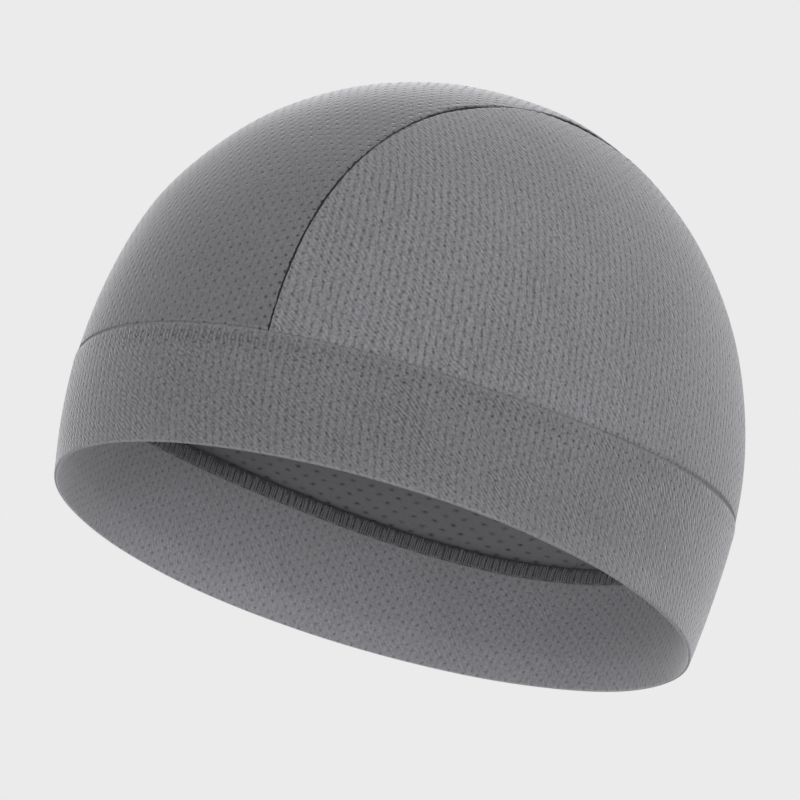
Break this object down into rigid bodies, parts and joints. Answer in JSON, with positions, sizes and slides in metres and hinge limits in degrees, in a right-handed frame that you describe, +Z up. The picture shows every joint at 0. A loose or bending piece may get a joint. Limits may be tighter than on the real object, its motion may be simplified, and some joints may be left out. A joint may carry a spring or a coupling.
{
  "type": "helmet liner cap",
  "caption": "Thin mesh skull cap worn under a helmet: a centre panel, side panels and a folded band round an open head hollow.",
  "frame": {"origin": "middle of the head opening, in the plane of the open edge", "axes": "+Z up as worn, the wearer faces -Y, the wearer's left is +X; the open edge leans 20.7 degrees, high at the front and low at the back"},
  "size_m": [0.1734, 0.2081, 0.1747],
  "materials": {
    "crown_mesh": "matt polyester mesh knit with small pores, wales running front to back",
    "side_mesh": "matt polyester mesh knit with small pores, wales running up the panel",
    "band_mesh": "the same mesh knit, two layers, folded at the open edge",
    "overlock_thread": "overlocked thread over the cut edges of the mesh"
  },
  "bodies": {
    "root": {"centre_panel": "crown_mesh", "side_panel_left": "side_mesh", "side_panel_right": "side_mesh", "band": "band_mesh", "band_overlock": "overlock_thread", "crown_seam_left": "overlock_thread", "crown_seam_right": "overlock_thread"}
  },
  "joints": []
}
